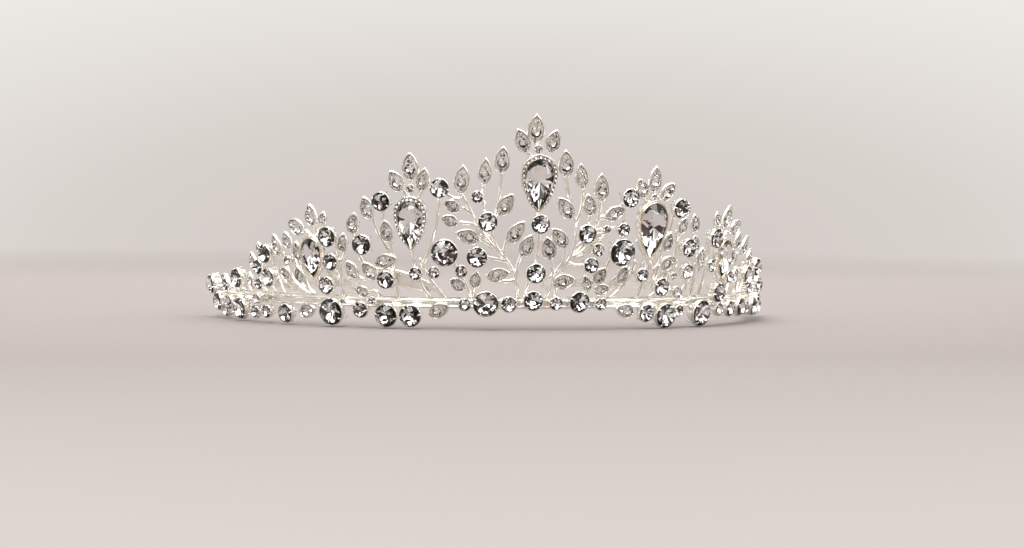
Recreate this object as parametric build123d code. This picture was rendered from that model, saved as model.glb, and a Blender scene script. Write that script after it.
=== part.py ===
from build123d import *
from collections import namedtuple
from math import atan2, cos, degrees, hypot, radians, sin
import os

# A bridal tiara. A flat base band goes round the head and stays open at the back. Two thin decor
# wires lie on its front, and a crown of cast stems, stone-set leaves, round stones in cups and five
# pear-shaped motifs stands on them. The crown is laid out flat, in millimetres, and each piece is
# then set on a surface that follows the band's arc and leans outward:
#   u  distance along the arc from the middle motif, negative to the wearer's right (-X)
#   v  distance up the leaning surface from the base line
#   out  distance outward from that surface
# Millimetres, +Z up, the middle motif faces -Y.

# Driving dimensions, mm and degrees
ARC_RADIUS = 76.0
LEAN = 10.0
STEM_RADIUS = 0.5
STEM_DEPTH = -0.56
SOLDER_GAP = 0.05

# Base band, its decor wires and its end loops
BAND_HEIGHT = 2.4
BAND_THICKNESS = 0.9
BAND_V = 5.6
BAND_OUT = -1.75
FRONT_HALF_ANGLE = 105.0
TAIL_RADIUS = 68.0
TAIL_ANGLE = 52.0
WIRE_RADIUS = 0.4
WIRE_V = (4.5, 6.1)
WIRE_OUT = -0.6
WIRE_HALF_ANGLE = 90.0
LOOP_OUTER_RADIUS = 2.3
LOOP_BORE_RADIUS = 1.3
LOOP_THICKNESS = 1.2

# Round stones in cups
CUP_WALL = 0.3
CUP_FLOOR = 0.35
CUP_BASE_HEIGHT = 1.0
CUP_HEIGHT_SHARE = 0.6
STONE_CLEARANCE = 0.04

# Stone-set leaves
LEAF_THICKNESS = 1.0
LEAF_FLOOR = 0.4
LEAF_RIM = 0.36
LEAF_BELLY_SHARE = 0.4
MAIN_STONE_SHARE = 0.31
TIP_STONE_SHARE = 0.15
BASE_STONE_SHARE = 0.1
LEAF_STONE_DEPTH = 0.3

# Pear motifs
PEAR_THICKNESS = 1.7
PEAR_FLOOR = 0.4
PEAR_CROWN = 1.3
PEAR_TABLE_SHARE = 0.6
HALO_STONE_RADIUS = 0.42
HALO_STONE_HEIGHT = 0.42
HALO_TOP_SHARE = 0.6
HALO_SPACING = 1.15
HALO_GAP = 0.1

# Plain ribbed leaves behind the stones
RIBBON_OUT = -2.2
RIBBON_THICKNESS = 0.6

Leaf = namedtuple("Leaf", "base_u base_v tip_u tip_v width")
Cup = namedtuple("Cup", "u v diameter")
Pear = namedtuple("Pear", "u bottom_v width height crystal_width crystal_height")
Section = namedtuple("Section", "leaves cups stems")

PEARS = {
    "centre": Pear(0.1, 29.3, 9.4, 15.3, 7.2, 13.2),
    "left_side": Pear(-30.2, 19.2, 8.8, 14.4, 6.6, 12.3),
    "right_side": Pear(30.4, 17.2, 9.8, 16.0, 8.3, 14.4),
    "left_outer": Pear(-57.7, 11.2, 7.6, 11.8, 6.2, 10.3),
    "right_outer": Pear(58.4, 11.4, 7.6, 11.8, 6.2, 10.3),
}
HALO_PEARS = ("centre", "left_side")

CENTRE = Section(
    leaves=[
        Leaf(-1.2, 47.1, -0.9, 54.9, 4.6),
        Leaf(-2.8, 44.9, -5.4, 51.1, 4.1),
        Leaf(2.2, 44.9, 4.0, 51.0, 4.1),
        Leaf(-3.4, 17.9, -0.8, 24.0, 4.0),
        Leaf(3.9, 17.2, 2.6, 23.4, 4.2),
        Leaf(8.0, 20.6, 3.7, 25.5, 4.1),
        Leaf(4.6, 10.9, 10.8, 12.3, 4.1),
    ],
    cups=[
        Cup(-0.4, 46.0, 2.3),
        Cup(0.7, 26.8, 5.1),
        Cup(0.1, 14.0, 5.3),
        Cup(-0.3, 6.8, 5.3),
        Cup(5.6, 6.0, 3.7),
    ],
    stems=[
        ((-2.0, 7.1), (-1.7, 9.6), (-0.6, 12.6)),
        ((3.2, 7.1), (4.9, 11.6), (3.9, 17.5)),
        ((4.5, 12.8), (7.2, 16.2), (7.9, 20.8)),
        ((0.6, 25.6), (-0.3, 34.0), (-1.1, 47.4)),
        ((0.2, 15.4), (0.9, 20.5), (0.6, 25.6)),
        ((-1.0, 43.6), (-2.2, 44.2), (-3.0, 45.4)),
        ((-1.0, 43.6), (1.2, 44.2), (2.3, 45.4)),
    ],
)

LEFT_INNER = Section(
    leaves=[
        Leaf(-8.9, 39.3, -8.2, 46.6, 4.2),
        Leaf(-12.7, 36.3, -12.2, 43.6, 3.6),
        Leaf(-18.2, 34.0, -17.4, 41.8, 4.2),
        Leaf(-9.2, 28.7, -5.6, 34.4, 4.2),
        Leaf(-18.0, 30.0, -22.5, 32.2, 3.2),
        Leaf(-18.6, 26.4, -23.2, 28.2, 3.2),
        Leaf(-13.4, 22.2, -19.8, 24.2, 4.0),
        Leaf(-7.1, 21.5, -2.6, 27.4, 4.0),
        Leaf(-12.0, 12.6, -5.8, 13.9, 3.8),
        Leaf(-15.0, 9.6, -14.2, 14.4, 3.2),
        Leaf(-17.0, 9.4, -21.2, 12.0, 3.3),
        Leaf(-26.6, 2.6, -21.0, 5.0, 4.0),
    ],
    cups=[
        Cup(-11.7, 27.3, 5.2),
        Cup(-14.2, 33.6, 3.3),
        Cup(-22.9, 35.9, 5.2),
        Cup(-14.2, 18.1, 5.5),
        Cup(-21.9, 19.3, 7.2),
        Cup(-18.0, 14.3, 3.4),
        Cup(-12.0, 6.0, 6.8),
        Cup(-6.3, 5.8, 4.3),
        Cup(-17.2, 5.6, 3.5),
    ],
    stems=[
        ((-3.9, 7.1), (-4.7, 12.6), (-7.4, 17.6)),
        ((-7.4, 17.6), (-12.4, 23.4), (-16.6, 31.5)),
        ((-16.6, 31.5), (-17.6, 33.0), (-18.2, 35.0)),
        ((-8.7, 19.3), (-10.6, 23.6), (-10.0, 28.6)),
        ((-10.0, 28.6), (-8.9, 33.6), (-8.8, 40.0)),
        ((-10.6, 26.0), (-12.8, 31.0), (-12.6, 37.0)),
        ((-9.9, 26.6), (-9.5, 28.2), (-9.1, 29.2)),
        ((-7.4, 17.6), (-7.6, 19.8), (-6.9, 22.0)),
        ((-4.4, 10.6), (-4.3, 14.5), (-3.2, 18.4)),
        ((-15.6, 7.1), (-17.9, 12.0), (-20.8, 17.4)),
        ((-14.2, 18.1), (-10.8, 17.4), (-6.8, 16.6)),
        ((-11.8, 12.7), (-8.6, 11.4), (-4.7, 11.8)),
        ((-13.6, 22.4), (-12.2, 21.6), (-10.4, 20.8)),
        ((-18.3, 26.6), (-15.8, 26.2), (-13.9, 25.6)),
        ((-17.6, 30.3), (-16.9, 29.8), (-16.0, 29.2)),
        ((-21.9, 34.4), (-20.0, 32.9), (-17.5, 33.1)),
        ((-15.4, 7.1), (-15.2, 8.6), (-15.0, 10.2)),
        ((-14.2, 33.6), (-13.2, 32.6), (-12.6, 31.6)),
    ],
)

LEFT_SIDE = Section(
    leaves=[
        Leaf(-29.8, 37.6, -30.0, 44.9, 4.5),
        Leaf(-32.0, 34.6, -35.1, 40.2, 4.1),
        Leaf(-27.6, 34.8, -26.3, 40.9, 3.8),
        Leaf(-40.4, 27.4, -42.2, 33.5, 4.0),
        Leaf(-45.8, 23.4, -44.7, 29.2, 3.9),
        Leaf(-35.9, 21.4, -37.1, 27.4, 3.8),
        Leaf(-40.2, 15.8, -33.8, 17.2, 4.0),
        Leaf(-39.8, 11.6, -43.8, 16.2, 3.7),
        Leaf(-45.4, 11.6, -48.0, 16.6, 3.5),
        Leaf(-42.2, 7.6, -46.4, 9.3, 3.0),
    ],
    cups=[
        Cup(-29.9, 35.6, 2.3),
        Cup(-37.0, 32.3, 5.2),
        Cup(-42.6, 21.0, 5.5),
        Cup(-36.9, 11.9, 4.9),
        Cup(-29.3, 13.6, 3.7),
        Cup(-24.7, 13.9, 3.3),
        Cup(-41.2, 6.2, 2.3),
        Cup(-44.3, 3.8, 4.5),
        Cup(-37.2, 2.6, 6.3),
        Cup(-30.9, 2.6, 6.1),
    ],
    stems=[
        ((-26.4, 7.1), (-29.4, 12.6), (-30.2, 19.8)),
        ((-22.6, 7.1), (-25.6, 11.0), (-28.6, 16.8)),
        ((-34.6, 7.1), (-35.6, 14.5), (-36.0, 21.6)),
        ((-35.4, 17.6), (-38.4, 22.0), (-40.5, 27.8)),
        ((-36.2, 9.5), (-43.0, 14.5), (-45.8, 23.8)),
        ((-41.6, 12.8), (-43.6, 11.4), (-45.4, 12.0)),
        ((-30.2, 19.8), (-30.6, 28.0), (-29.8, 38.0)),
        ((-30.3, 32.2), (-31.2, 33.3), (-32.2, 35.0)),
        ((-30.1, 31.2), (-28.8, 32.5), (-27.5, 35.2)),
        ((-28.2, 14.6), (-24.8, 24.0), (-23.2, 34.4)),
        ((-37.1, 25.0), (-37.6, 28.0), (-37.0, 31.2)),
        ((-39.6, 7.1), (-40.6, 8.2), (-42.4, 7.9)),
        ((-42.6, 21.0), (-43.9, 19.6), (-44.9, 19.0)),
        ((-35.7, 15.6), (-37.6, 14.8), (-39.8, 15.8)),
    ],
)

LEFT_OUTER = Section(
    leaves=[
        Leaf(-56.9, 25.3, -57.6, 31.4, 4.1),
        Leaf(-54.3, 25.6, -53.3, 29.4, 2.6),
        Leaf(-59.8, 23.6, -65.2, 26.9, 4.2),
        Leaf(-65.2, 19.2, -67.0, 24.0, 3.3),
        Leaf(-69.2, 17.2, -71.2, 23.2, 3.5),
        Leaf(-62.5, 15.8, -63.2, 21.4, 3.5),
        Leaf(-62.4, 10.0, -64.0, 14.8, 3.3),
        Leaf(-66.2, 11.6, -70.6, 13.8, 3.2),
        Leaf(-48.9, 18.6, -48.2, 23.8, 3.3),
        Leaf(-64.6, 2.0, -58.8, 3.4, 3.9),
    ],
    cups=[
        Cup(-52.0, 22.9, 5.5),
        Cup(-51.8, 16.2, 4.7),
        Cup(-53.6, 10.0, 4.9),
        Cup(-66.0, 16.2, 2.6),
        Cup(-52.4, 3.2, 7.3),
        Cup(-68.2, 2.1, 5.3),
    ],
    stems=[
        ((-55.4, 7.1), (-57.2, 9.4), (-57.7, 12.6)),
        ((-57.7, 12.6), (-57.4, 19.0), (-56.9, 25.8)),
        ((-57.2, 23.0), (-55.9, 24.0), (-54.4, 26.0)),
        ((-59.6, 7.1), (-61.6, 9.0), (-62.5, 11.6)),
        ((-61.4, 7.1), (-66.4, 10.6), (-69.2, 17.6)),
        ((-63.2, 12.6), (-65.2, 15.4), (-65.3, 19.6)),
        ((-62.4, 10.8), (-62.9, 13.6), (-62.5, 16.4)),
        ((-57.5, 20.6), (-58.6, 22.4), (-60.2, 23.9)),
        ((-50.4, 7.1), (-50.8, 14.0), (-51.2, 21.8)),
        ((-51.0, 15.6), (-49.6, 16.8), (-48.9, 19.2)),
        ((-53.6, 7.1), (-53.8, 8.4), (-53.6, 10.0)),
        ((-64.9, 9.2), (-66.6, 9.8), (-67.2, 11.8)),
    ],
)

LEFT_END = Section(
    leaves=[
        Leaf(-76.6, 17.2, -78.2, 21.0, 2.7),
        Leaf(-80.6, 13.4, -82.0, 18.2, 3.2),
        Leaf(-83.4, 8.4, -84.2, 12.6, 2.8),
        Leaf(-92.2, 8.6, -93.2, 12.8, 2.8),
        Leaf(-99.6, 8.6, -103.6, 11.4, 3.0),
    ],
    cups=[
        Cup(-73.4, 18.0, 5.2),
        Cup(-77.4, 14.3, 4.3),
        Cup(-73.3, 11.6, 5.1),
        Cup(-78.2, 9.6, 3.5),
        Cup(-87.9, 11.0, 5.6),
        Cup(-80.4, 5.4, 3.2),
        Cup(-97.2, 8.8, 3.7),
        Cup(-109.6, 8.6, 5.9),
        Cup(-104.6, 3.9, 5.6),
        Cup(-96.2, 3.9, 4.3),
        Cup(-88.2, 2.6, 6.1),
        Cup(-81.4, 1.9, 3.9),
        Cup(-76.2, 2.2, 3.9),
        Cup(-100.0, 1.4, 3.7),
    ],
    stems=[
        ((-70.6, 7.1), (-72.6, 11.0), (-73.4, 17.4)),
        ((-74.6, 7.1), (-77.0, 11.0), (-77.4, 17.6)),
        ((-78.6, 7.1), (-80.8, 10.0), (-80.7, 14.0)),
        ((-82.4, 7.1), (-83.1, 7.8), (-83.4, 9.0)),
        ((-86.6, 7.1), (-87.6, 8.6), (-87.9, 10.4)),
        ((-90.8, 7.1), (-92.0, 7.8), (-92.3, 9.2)),
        ((-95.0, 7.1), (-99.6, 7.6), (-103.0, 10.6)),
        ((-105.0, 7.1), (-107.4, 7.4), (-109.2, 8.6)),
    ],
)

RIGHT_INNER = Section(
    leaves=[
        Leaf(6.7, 38.5, 6.1, 45.9, 4.3),
        Leaf(10.9, 35.5, 9.9, 42.5, 3.6),
        Leaf(15.9, 32.3, 15.3, 40.0, 4.3),
        Leaf(8.9, 28.0, 4.8, 33.6, 4.2),
        Leaf(13.6, 28.6, 12.2, 34.6, 3.8),
        Leaf(16.8, 28.2, 22.9, 30.9, 3.8),
        Leaf(15.4, 11.0, 18.9, 15.2, 3.6),
        Leaf(14.2, 8.8, 12.9, 13.4, 3.0),
        Leaf(15.6, 9.0, 20.4, 9.9, 3.2),
        Leaf(22.4, 10.8, 24.6, 15.8, 3.6),
        Leaf(28.2, 3.0, 22.4, 4.4, 3.9),
    ],
    cups=[
        Cup(22.8, 33.8, 5.2),
        Cup(21.9, 25.4, 3.8),
        Cup(21.6, 19.6, 7.4),
        Cup(12.3, 24.3, 5.1),
        Cup(15.6, 20.1, 3.6),
        Cup(14.0, 16.1, 4.3),
        Cup(11.5, 6.5, 5.7),
        Cup(28.6, 13.4, 3.9),
        Cup(17.6, 5.8, 3.5),
        Cup(17.6, 25.4, 2.3),
    ],
    stems=[
        ((5.8, 7.1), (6.7, 12.6), (9.2, 17.5)),
        ((9.2, 17.5), (10.3, 22.5), (9.6, 27.6)),
        ((9.6, 27.6), (8.0, 33.0), (6.7, 39.0)),
        ((9.9, 26.5), (11.3, 31.0), (10.9, 36.0)),
        ((14.6, 23.4), (15.9, 28.0), (15.9, 32.8)),
        ((9.4, 17.8), (12.9, 20.0), (14.6, 23.4)),
        ((15.6, 27.2), (16.2, 27.8), (17.2, 28.5)),
        ((15.0, 24.4), (18.4, 25.3), (21.6, 25.4)),
        ((19.4, 7.1), (18.6, 12.6), (20.6, 17.8)),
        ((21.4, 7.1), (25.4, 11.4), (27.6, 16.6)),
        ((13.3, 20.6), (13.5, 25.0), (13.6, 29.2)),
        ((13.4, 7.1), (13.8, 8.2), (14.2, 9.6)),
        ((13.9, 8.6), (14.8, 10.0), (15.6, 11.6)),
        ((8.6, 16.6), (11.4, 15.6), (14.0, 16.1)),
        ((22.2, 32.2), (20.2, 29.4), (16.6, 28.0)),
        ((21.9, 25.4), (22.6, 26.4), (22.6, 29.6)),
    ],
)

RIGHT_SIDE = Section(
    leaves=[
        Leaf(29.9, 35.0, 30.0, 42.1, 4.3),
        Leaf(27.5, 33.6, 25.4, 38.8, 3.7),
        Leaf(32.0, 33.2, 36.6, 37.6, 4.1),
        Leaf(40.9, 28.9, 41.7, 32.6, 2.5),
        Leaf(39.7, 24.0, 41.6, 28.8, 3.4),
        Leaf(45.6, 24.6, 44.2, 29.6, 3.4),
        Leaf(46.6, 19.0, 45.4, 24.0, 3.3),
        Leaf(35.4, 19.4, 37.2, 24.8, 3.7),
        Leaf(34.4, 15.2, 40.2, 17.6, 3.7),
        Leaf(39.8, 9.2, 44.4, 7.2, 3.2),
    ],
    cups=[
        Cup(29.9, 34.0, 1.9),
        Cup(37.8, 31.2, 5.3),
        Cup(42.3, 20.6, 5.2),
        Cup(43.2, 14.2, 4.3),
        Cup(34.8, 10.2, 5.1),
        Cup(39.0, 13.0, 2.3),
        Cup(31.0, 3.3, 4.9),
        Cup(36.9, 2.6, 6.8),
        Cup(42.4, 3.6, 3.5),
    ],
    stems=[
        ((29.4, 7.1), (30.9, 12.6), (30.8, 19.4)),
        ((30.8, 19.4), (31.2, 28.0), (29.9, 35.4)),
        ((33.6, 7.1), (38.0, 11.0), (41.4, 16.6)),
        ((34.4, 12.0), (35.2, 16.0), (35.4, 19.8)),
        ((39.0, 13.6), (40.4, 19.0), (39.8, 24.4)),
        ((43.6, 7.1), (46.6, 13.0), (46.6, 19.4)),
        ((46.6, 19.4), (46.6, 22.2), (45.6, 25.0)),
        ((40.2, 22.4), (41.2, 26.0), (40.9, 29.2)),
        ((36.6, 23.4), (37.8, 26.8), (37.8, 30.2)),
        ((30.6, 31.4), (29.2, 32.4), (27.6, 34.0)),
        ((30.6, 31.4), (31.4, 32.2), (32.4, 33.6)),
        ((34.2, 11.4), (33.6, 13.6), (34.8, 15.4)),
        ((42.3, 20.6), (43.9, 19.2), (46.4, 17.4)),
        ((27.4, 22.0), (29.8, 18.6), (33.0, 15.0)),
        ((38.6, 7.1), (39.0, 8.2), (40.2, 9.0)),
    ],
)

RIGHT_OUTER = Section(
    leaves=[
        Leaf(57.2, 25.6, 59.2, 32.0, 4.3),
        Leaf(54.4, 26.4, 53.0, 30.2, 2.7),
        Leaf(60.6, 24.0, 66.2, 27.6, 4.1),
        Leaf(65.4, 19.8, 66.8, 24.6, 3.2),
        Leaf(69.8, 17.8, 73.0, 23.6, 3.6),
        Leaf(63.6, 15.2, 64.2, 20.4, 3.2),
        Leaf(66.6, 10.6, 69.6, 14.8, 3.2),
        Leaf(48.7, 15.2, 49.4, 20.6, 3.3),
    ],
    cups=[
        Cup(52.3, 23.2, 5.6),
        Cup(52.8, 15.6, 3.7),
        Cup(57.2, 8.4, 5.7),
        Cup(62.2, 12.4, 3.7),
        Cup(50.0, 3.0, 7.3),
        Cup(59.4, 3.5, 3.9),
        Cup(65.2, 3.6, 4.7),
    ],
    stems=[
        ((60.4, 7.1), (60.0, 9.6), (58.4, 12.6)),
        ((58.4, 12.6), (58.0, 19.0), (57.2, 26.0)),
        ((57.9, 22.8), (56.4, 24.4), (54.4, 26.8)),
        ((58.0, 21.4), (59.2, 22.8), (60.9, 24.3)),
        ((52.0, 7.1), (53.0, 14.0), (52.5, 22.0)),
        ((61.6, 7.1), (64.6, 13.0), (65.4, 20.2)),
        ((66.4, 7.1), (68.8, 12.4), (69.8, 18.2)),
        ((48.2, 7.1), (49.0, 11.0), (48.7, 15.6)),
        ((61.9, 7.8), (62.4, 10.0), (62.2, 12.0)),
        ((63.9, 11.0), (64.2, 13.2), (63.6, 15.6)),
    ],
)

RIGHT_END = Section(
    leaves=[
        Leaf(76.2, 15.0, 77.6, 19.8, 3.2),
        Leaf(83.6, 9.6, 85.0, 14.2, 3.1),
        Leaf(93.0, 8.6, 94.2, 12.8, 2.9),
        Leaf(99.6, 8.6, 103.6, 11.4, 3.0),
    ],
    cups=[
        Cup(72.8, 12.6, 5.6),
        Cup(80.4, 14.8, 5.3),
        Cup(77.8, 8.8, 3.5),
        Cup(71.8, 3.8, 5.3),
        Cup(78.4, 3.2, 3.9),
        Cup(85.2, 3.4, 5.3),
        Cup(88.4, 9.8, 3.9),
        Cup(92.2, 3.4, 5.6),
        Cup(97.4, 8.8, 3.7),
        Cup(109.6, 8.6, 5.9),
        Cup(104.4, 3.9, 5.6),
        Cup(98.0, 2.6, 3.7),
    ],
    stems=[
        ((72.4, 7.1), (73.2, 9.6), (72.8, 12.0)),
        ((74.6, 7.1), (76.2, 11.0), (76.3, 15.4)),
        ((77.6, 7.1), (79.9, 10.4), (80.4, 14.2)),
        ((82.8, 7.1), (83.5, 8.2), (83.7, 10.0)),
        ((87.6, 7.1), (88.2, 8.2), (88.4, 9.4)),
        ((92.0, 7.1), (92.8, 7.8), (93.1, 9.2)),
        ((95.0, 7.1), (99.6, 7.6), (103.0, 10.6)),
        ((105.0, 7.1), (107.4, 7.4), (109.2, 8.6)),
    ],
)

SECTIONS = {
    "centre": CENTRE,
    "left_inner": LEFT_INNER,
    "left_side": LEFT_SIDE,
    "left_outer": LEFT_OUTER,
    "left_end": LEFT_END,
    "right_inner": RIGHT_INNER,
    "right_side": RIGHT_SIDE,
    "right_outer": RIGHT_OUTER,
    "right_end": RIGHT_END,
}

RIBBONS = {
    "left": [
        Leaf(-22.6, 8.2, -44.6, 14.4, 4.0),
        Leaf(-8.4, 18.4, -14.8, 25.2, 2.4),
        Leaf(-50.6, 9.2, -57.2, 15.4, 2.8),
        Leaf(-63.6, 8.6, -74.6, 9.8, 3.0),
    ],
    "right": [
        Leaf(8.6, 16.6, 19.2, 24.2, 4.0),
        Leaf(20.8, 8.4, 27.2, 14.8, 3.2),
        Leaf(29.4, 10.8, 35.2, 20.2, 2.8),
        Leaf(36.8, 8.6, 41.6, 16.8, 2.6),
        Leaf(47.4, 8.2, 48.2, 14.6, 2.4),
        Leaf(51.6, 12.6, 56.4, 21.4, 2.8),
        Leaf(62.6, 8.6, 71.0, 9.8, 3.0),
    ],
}


def place(u, v, out=0.0, turn=0.0):
    """Frame on the crown's surface: x along the arc, y up the crown, z outward."""
    angle = u / ARC_RADIUS
    lean = radians(LEAN)
    radius = ARC_RADIUS + v * sin(lean) + out * cos(lean)
    origin = (radius * sin(angle), -radius * cos(angle), v * cos(lean) - out * sin(lean))
    along = (cos(angle), sin(angle), 0)
    outward = (cos(lean) * sin(angle), -cos(lean) * cos(angle), -sin(lean))
    return Location(Plane(origin, x_dir=along, z_dir=outward)) * Rot(0, 0, turn)


def point_on(u, v, out):
    """Position of a point of the layout."""
    return place(u, v, out).position


def half_arc(half_width, belly, end):
    """Arc from the widest point of a drop to one of its ends on the middle line."""
    rise = end - belly
    radius = (half_width**2 + rise**2) / (2 * half_width)
    sweep = atan2(rise, radius - half_width) / 2
    middle = (half_width - radius + radius * cos(sweep), belly + radius * sin(sweep))
    return ThreePointArc((half_width, belly), middle, (0, end))


def drop_face(width, length, belly, start=0.0):
    """Leaf or pear outline of four arcs, its round end at y=start and its point at y=start+length."""
    lower = half_arc(width / 2, start + belly, start)
    upper = half_arc(width / 2, start + belly, start + length)
    right = Wire([lower, upper])
    return make_face([*right.edges(), *mirror(right, about=Plane.YZ).edges()])


def stone(radius, crown, depth):
    """Round brilliant: flat table, sloping crown, thin girdle and a pavilion cut short below."""
    girdle = 0.12
    profile = Polyline(
        (0, -depth),
        (radius * 0.35, -depth),
        (radius, 0),
        (radius, girdle),
        (radius * 0.58, girdle + crown),
        (0, girdle + crown),
        close=True,
    )
    return revolve(Plane.XZ * make_face(profile), Axis.Z)


def cup_height(diameter):
    """Height of a cup above the crown's surface, more for a larger stone."""
    return CUP_BASE_HEIGHT + CUP_HEIGHT_SHARE * diameter / 2


def round_cup(diameter):
    """Closed collet, narrower at its foot, with a seat for a round stone."""
    height = cup_height(diameter)
    outer = diameter / 2
    foot = outer * 0.72
    bore = outer - CUP_WALL
    profile = Polyline(
        (0, 0),
        (foot, 0),
        (outer, height * 0.62),
        (outer, height),
        (bore, height),
        (bore, height * 0.62),
        (foot - CUP_WALL, CUP_FLOOR),
        (0, CUP_FLOOR),
        close=True,
    )
    return revolve(Plane.XZ * make_face(profile), Axis.Z)


def cup_stone(diameter):
    """The round crystal in a cup, clear of its wall and its floor."""
    radius = diameter / 2 - CUP_WALL - STONE_CLEARANCE
    height = cup_height(diameter)
    seat = height * 0.86
    depth = (seat - CUP_FLOOR) * 0.45
    return Pos(0, 0, seat) * stone(radius, radius * 0.4, depth)


def leaf_length(leaf):
    """Length of a leaf from its base to its tip."""
    return hypot(leaf.tip_u - leaf.base_u, leaf.tip_v - leaf.base_v)


def leaf_place(leaf, out=0.0):
    """Frame at a leaf's middle, with y toward its tip."""
    turn = degrees(atan2(leaf.base_u - leaf.tip_u, leaf.tip_v - leaf.base_v))
    middle_u = (leaf.base_u + leaf.tip_u) / 2
    middle_v = (leaf.base_v + leaf.tip_v) / 2
    return place(middle_u, middle_v, out, turn) * Pos(0, -leaf_length(leaf) / 2, 0)


def leaf_setting(leaf):
    """Drop-shaped dish with a raised rim."""
    length = leaf_length(leaf)
    belly = length * LEAF_BELLY_SHARE
    body = extrude(drop_face(leaf.width, length, belly), LEAF_THICKNESS)
    well_width = leaf.width - 2 * LEAF_RIM
    well_length = length - 3.6 * LEAF_RIM
    well_start = 1.5 * LEAF_RIM
    well = drop_face(well_width, well_length, belly - well_start, well_start)
    hollow = Pos(0, 0, LEAF_FLOOR) * extrude(well, LEAF_THICKNESS)
    return leaf_place(leaf) * (body - hollow)


def leaf_stones(leaf):
    """The main stone at a leaf's widest place, with a small one toward its tip and one below."""
    belly = leaf_length(leaf) * LEAF_BELLY_SHARE
    radius = leaf.width * MAIN_STONE_SHARE
    tip_radius = leaf.width * TIP_STONE_SHARE
    base_radius = leaf.width * BASE_STONE_SHARE
    lift = LEAF_FLOOR + STONE_CLEARANCE + LEAF_STONE_DEPTH
    tip_y = belly + radius + tip_radius + 2 * STONE_CLEARANCE
    base_y = belly - radius - base_radius - 2 * STONE_CLEARANCE
    frame = leaf_place(leaf)
    stones = []
    for y, size in ((belly, radius), (tip_y, tip_radius), (base_y, base_radius)):
        stones.append(frame * Pos(0, y, lift) * stone(size, size * 0.4, LEAF_STONE_DEPTH))
    return stones


def pear_place(pear, out=0.0):
    """Frame at a pear's top, with y pointing down the crown, so the drop's point is below."""
    middle_v = pear.bottom_v + pear.height / 2
    return place(pear.u, middle_v, out, 180) * Pos(0, -pear.height / 2, 0)


def pear_bezel(pear):
    """Pear-shaped plate with a raised wall round the hole for the crystal."""
    plate = extrude(drop_face(pear.width, pear.height, pear.width * 0.5), PEAR_THICKNESS)
    hole_width = pear.crystal_width + 2 * STONE_CLEARANCE
    hole_length = pear.crystal_height + 4 * STONE_CLEARANCE
    hole_start = pear_margin(pear) - 2 * STONE_CLEARANCE
    hole = drop_face(hole_width, hole_length, hole_width * 0.55, hole_start)
    return pear_place(pear) * (plate - Pos(0, 0, PEAR_FLOOR) * extrude(hole, PEAR_THICKNESS))


def pear_margin(pear):
    """Width of a pear's bezel beside its crystal and above it."""
    return (pear.width - pear.crystal_width) / 2


def pear_crystal(pear):
    """Pear-cut crystal: straight girdle in the bezel and a sloping crown above it."""
    outline = drop_face(pear.crystal_width, pear.crystal_height, pear.crystal_width * 0.55)
    girdle_height = PEAR_THICKNESS - PEAR_FLOOR - STONE_CLEARANCE
    girdle = extrude(outline, girdle_height)
    table = Pos(0, pear.crystal_height * 0.17, 0) * drop_face(
        pear.crystal_width * PEAR_TABLE_SHARE,
        pear.crystal_height * PEAR_TABLE_SHARE,
        pear.crystal_width * 0.33,
    )
    table_height = girdle_height + PEAR_CROWN
    crown = loft([Pos(0, 0, girdle_height) * outline, Pos(0, 0, table_height) * table])
    frame = pear_place(pear, PEAR_FLOOR + STONE_CLEARANCE)
    return frame * Pos(0, pear_margin(pear), 0) * (girdle + crown)


def halo_stones(pear):
    """Small stones set round the face of a bezel, up to the crystal's point."""
    reach = HALO_STONE_RADIUS + HALO_GAP
    ring_width = pear.crystal_width + 2 * reach
    ring_start = pear_margin(pear) - reach
    crystal_end = pear_margin(pear) + pear.crystal_height
    ring_length = crystal_end + reach - ring_start
    outline = drop_face(ring_width, ring_length, ring_width * 0.5, ring_start)
    ring = outline.face().outer_wire()
    count = int(ring.length / HALO_SPACING)
    frame = pear_place(pear, PEAR_THICKNESS + STONE_CLEARANCE)
    cone = Cone(
        HALO_STONE_RADIUS,
        HALO_STONE_RADIUS * HALO_TOP_SHARE,
        HALO_STONE_HEIGHT,
        align=(Align.CENTER, Align.CENTER, Align.MIN),
    )
    spots = [ring.position_at((i + 0.5) / count) for i in range(count)]
    return [frame * Pos(spot) * cone for spot in spots if spot.Y < crystal_end - 2 * reach]


def stem(points):
    """Round stem that bends in one arc through three points of the layout."""
    start, middle, end = (point_on(u, v, STEM_DEPTH) for u, v in points)
    path = ThreePointArc(start, middle, end)
    section = Plane(origin=path @ 0, z_dir=path % 0) * Circle(STEM_RADIUS)
    joint = Sphere(STEM_RADIUS * 1.04)
    return [sweep(section, path=path), Pos(start) * joint, Pos(end) * joint]


def stem_tree(stems):
    """All the stems of one section, cast in one piece where they meet."""
    pieces = [piece for points in stems for piece in stem(points)]
    return pieces[0].fuse(*pieces[1:]) if len(pieces) > 1 else pieces[0]


def ribbon(leaf):
    """Plain leaf-shaped blade behind the stones."""
    length = leaf_length(leaf)
    turn = degrees(atan2(leaf.base_u - leaf.tip_u, leaf.tip_v - leaf.base_v))
    middle_u = (leaf.base_u + leaf.tip_u) / 2
    middle_v = (leaf.base_v + leaf.tip_v) / 2
    blade = drop_face(leaf.width, length, length * 0.5, -length / 2)
    return place(middle_u, middle_v, RIBBON_OUT, turn) * extrude(blade, RIBBON_THICKNESS)


def arc_bar(section, radius, start, end, height):
    """Section swept about the vertical axis between two angles from the front."""
    turned = Plane.XZ * Pos(radius, height) * section
    return Rot(0, 0, start - 90) * revolve(turned, Axis.Z, end - start)


def band_height_at(v, out):
    """Height and radius of a line that runs along the arc."""
    point = point_on(0, v, out)
    return point.Z, -point.Y


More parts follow.
